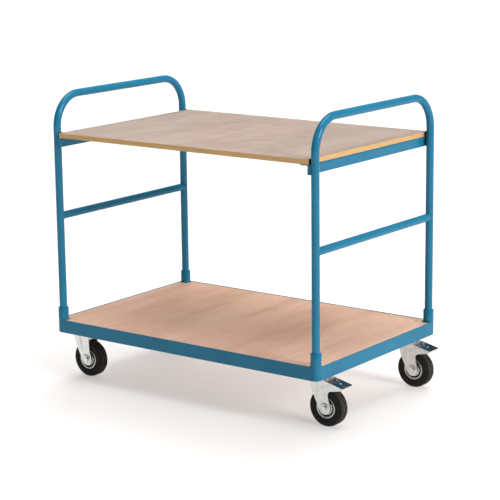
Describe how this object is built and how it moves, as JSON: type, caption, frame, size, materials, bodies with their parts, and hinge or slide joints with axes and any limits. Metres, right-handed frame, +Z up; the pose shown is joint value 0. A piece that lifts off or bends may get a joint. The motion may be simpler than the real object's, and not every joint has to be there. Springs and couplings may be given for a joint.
{
  "type": "platform trolley",
  "caption": "Two-level platform trolley: wood deck and shelf between blue tubular end hoops, on swivel castors, the right-hand ones with foot brakes.",
  "frame": {"origin": "on the floor under the middle of the overall box, brake pedals included", "axes": "+X along the trolley towards the braked castors, -Y the front long side, +Z up"},
  "size_m": [1.1476, 0.709, 0.999],
  "materials": {
    "blue_paint": "powder coat, semi-gloss blue",
    "deck_wood": "matt laminate, pinkish beech",
    "shelf_wood": "matt laminate, greyish beech, with a light edge band",
    "black_rubber": "matt black",
    "zinc_plate": "zinc plated pressed steel, satin",
    "bolt_steel": "zinc plated, bright",
    "tyre_rubber": "matt black rubber",
    "bearing_plastic": "matt black",
    "pedal_steel": "dark bright-plated steel"
  },
  "bodies": {
    "frame": {"front_rail": "blue_paint", "back_rail": "blue_paint", "right_rail": "blue_paint", "left_rail": "blue_paint", "deck_board": "deck_wood", "front_left_socket": "blue_paint", "front_left_corner_plate": "blue_paint", "front_right_socket": "blue_paint", "front_right_corner_plate": "blue_paint", "back_left_socket": "blue_paint", "back_left_corner_plate": "blue_paint", "back_right_socket": "blue_paint", "back_right_corner_plate": "blue_paint", "left_hoop": "blue_paint", "left_mid_rail": "blue_paint", "left_shelf_bearer": "blue_paint", "right_hoop": "blue_paint", "right_mid_rail": "blue_paint", "right_shelf_bearer": "blue_paint", "shelf_board": "shelf_wood", "front_left_buffer": "black_rubber", "front_right_buffer": "black_rubber", "back_left_buffer": "black_rubber", "back_right_buffer": "black_rubber", "front_left_top_plate": "zinc_plate", "front_left_kingpin": "bolt_steel", "front_right_top_plate": "zinc_plate", "front_right_kingpin": "bolt_steel", "back_left_top_plate": "zinc_plate", "back_left_kingpin": "bolt_steel", "back_right_top_plate": "zinc_plate", "back_right_kingpin": "bolt_steel"},
    "front_left_swivel": {"front_left_fork": "zinc_plate", "front_left_axle_bolt": "bolt_steel", "front_left_axle_nut": "bolt_steel"},
    "front_left_wheel": {"front_left_rim": "zinc_plate", "front_left_tyre": "tyre_rubber", "front_left_wheel_bearing": "bearing_plastic"},
    "front_right_swivel": {"front_right_fork": "zinc_plate", "front_right_axle_bolt": "bolt_steel", "front_right_axle_nut": "bolt_steel", "front_right_pedal_pin": "bolt_steel"},
    "front_right_wheel": {"front_right_rim": "zinc_plate", "front_right_tyre": "tyre_rubber", "front_right_wheel_bearing": "bearing_plastic"},
    "front_right_pedal": {"front_right_brake_pedal": "pedal_steel"},
    "back_left_swivel": {"back_left_fork": "zinc_plate", "back_left_axle_bolt": "bolt_steel", "back_left_axle_nut": "bolt_steel"},
    "back_left_wheel": {"back_left_rim": "zinc_plate", "back_left_tyre": "tyre_rubber", "back_left_wheel_bearing": "bearing_plastic"},
    "back_right_swivel": {"back_right_fork": "zinc_plate", "back_right_axle_bolt": "bolt_steel", "back_right_axle_nut": "bolt_steel", "back_right_pedal_pin": "bolt_steel"},
    "back_right_wheel": {"back_right_rim": "zinc_plate", "back_right_tyre": "tyre_rubber", "back_right_wheel_bearing": "bearing_plastic"},
    "back_right_pedal": {"back_right_brake_pedal": "pedal_steel"}
  },
  "joints": [
    {"name": "front_left_swivel_turn", "type": "hinge", "parent": "frame", "child": "front_left_swivel", "pos_m": [-0.52725, -0.263, 0.16], "axis": [0, 0, 1], "continuous": true},
    {"name": "front_left_wheel_spin", "type": "hinge", "parent": "front_left_swivel", "child": "front_left_wheel", "pos_m": [-0.50125, -0.263, 0.0625], "axis": [0, 1, 0], "continuous": true},
    {"name": "front_right_swivel_turn", "type": "hinge", "parent": "frame", "child": "front_right_swivel", "pos_m": [0.47475, -0.263, 0.16], "axis": [0, 0, 1], "continuous": true},
    {"name": "front_right_wheel_spin", "type": "hinge", "parent": "front_right_swivel", "child": "front_right_wheel", "pos_m": [0.50075, -0.263, 0.0625], "axis": [0, 1, 0], "continuous": true},
    {"name": "front_right_pedal_lift", "type": "hinge", "parent": "front_right_swivel", "child": "front_right_pedal", "pos_m": [0.51475, -0.263, 0.14], "axis": [0, 1, 0], "range_deg": [-10, 0]},
    {"name": "back_left_swivel_turn", "type": "hinge", "parent": "frame", "child": "back_left_swivel", "pos_m": [-0.52725, 0.263, 0.16], "axis": [0, 0, 1], "continuous": true},
    {"name": "back_left_wheel_spin", "type": "hinge", "parent": "back_left_swivel", "child": "back_left_wheel", "pos_m": [-0.50125, 0.263, 0.0625], "axis": [0, 1, 0], "continuous": true},
    {"name": "back_right_swivel_turn", "type": "hinge", "parent": "frame", "child": "back_right_swivel", "pos_m": [0.47475, 0.263, 0.16], "axis": [0, 0, 1], "continuous": true},
    {"name": "back_right_wheel_spin", "type": "hinge", "parent": "back_right_swivel", "child": "back_right_wheel", "pos_m": [0.50075, 0.263, 0.0625], "axis": [0, 1, 0], "continuous": true},
    {"name": "back_right_pedal_lift", "type": "hinge", "parent": "back_right_swivel", "child": "back_right_pedal", "pos_m": [0.51475, 0.263, 0.14], "axis": [0, 1, 0], "range_deg": [-10, 0]}
  ]
}
